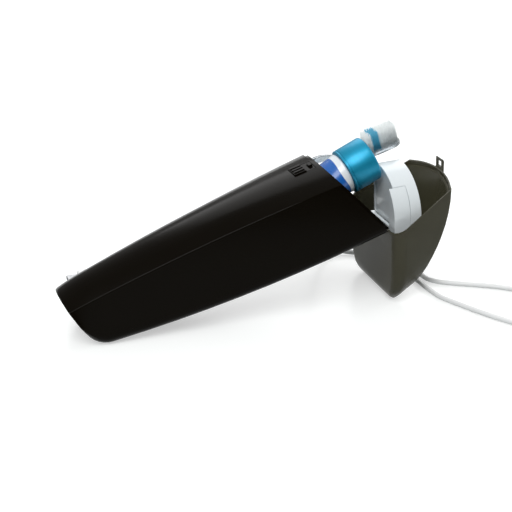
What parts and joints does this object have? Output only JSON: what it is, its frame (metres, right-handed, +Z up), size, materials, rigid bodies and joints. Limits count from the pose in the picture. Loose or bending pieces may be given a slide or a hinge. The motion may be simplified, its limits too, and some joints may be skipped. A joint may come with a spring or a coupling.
{
  "type": "toothbrush sanitizer",
  "caption": "Smoked travel case standing open on its hinged lid, with a white ultraviolet pod in the lid, a toothbrush, a capped paste tube and a power cord",
  "frame": {"origin": "middle of the box round the standing case, on the floor, left of the cord's own box", "axes": "X along the case from its closed end to the open lid, Y to the far side, Z up"},
  "size_m": [0.294, 0.1975, 0.0953],
  "materials": {
    "smoke": "smoked see-through polycarbonate",
    "smoke_lid": "light smoked see-through polycarbonate",
    "white": "gloss white ABS",
    "steel": "plain steel",
    "black": "black nylon",
    "board": "solder-masked circuit board",
    "quartz": "quartz",
    "emitter": "ceramic LED package",
    "blue": "metallic blue polypropylene",
    "laminate": "printed tube laminate",
    "clear": "clear copolyester",
    "nylon_white": "white nylon filament",
    "nylon_blue": "blue nylon filament",
    "cord": "white PVC cord sheath"
  },
  "bodies": {
    "case": {"body_shell": "smoke", "hinge_pin": "steel", "rail_near": "black", "rail_far": "black", "driver_board": "board", "cord_gland": "cord", "cord_run": "cord", "cord_coil": "cord", "cord_tail": "cord", "plug_body": "cord", "plug_shell": "steel"},
    "lid": {"lid_shell": "smoke_lid", "pod_cover": "white", "pod_base": "white", "uv_window": "quartz", "uv_board": "board", "uv_led_1": "emitter", "uv_led_2": "emitter", "uv_led_3": "emitter", "control_board": "board", "interlock_switch": "black", "pod_screw_1": "steel", "pod_screw_2": "steel"},
    "carrier": {"carrier": "black", "brush_handle": "clear", "bristles_tip": "nylon_white", "bristles_blue": "nylon_blue", "bristles_heel": "nylon_white", "tube_body": "laminate"},
    "cap": {"tube_cap": "blue"},
    "button": {"latch_button": "smoke"}
  },
  "joints": [
    {"name": "lid_hinge", "type": "hinge", "parent": "case", "child": "lid", "pos_m": [0.06969, 0, 0.04583], "axis": [0, -1, 0], "range_deg": [0, 104]},
    {"name": "carrier_slide", "type": "slide", "parent": "case", "child": "carrier", "axis": [-0.8897, -0.042, -0.4547], "range_m": [0, 0.054]},
    {"name": "cap_turn", "type": "hinge", "parent": "carrier", "child": "cap", "pos_m": [0.07126, 0.004, 0.08106], "axis": [0.9116, 0.0156, 0.4108], "range_deg": [0, 360]},
    {"name": "button_press", "type": "slide", "parent": "case", "child": "button", "axis": [0.2867, 0, -0.958], "range_m": [0, 0.0007], "stiffness_N_per_m": 600, "springref_m": -0.0004}
  ],
  "couplings": [
    {"joint": "carrier_slide", "follows": "lid_hinge", "m_per_rad": 0.029749}
  ]
}
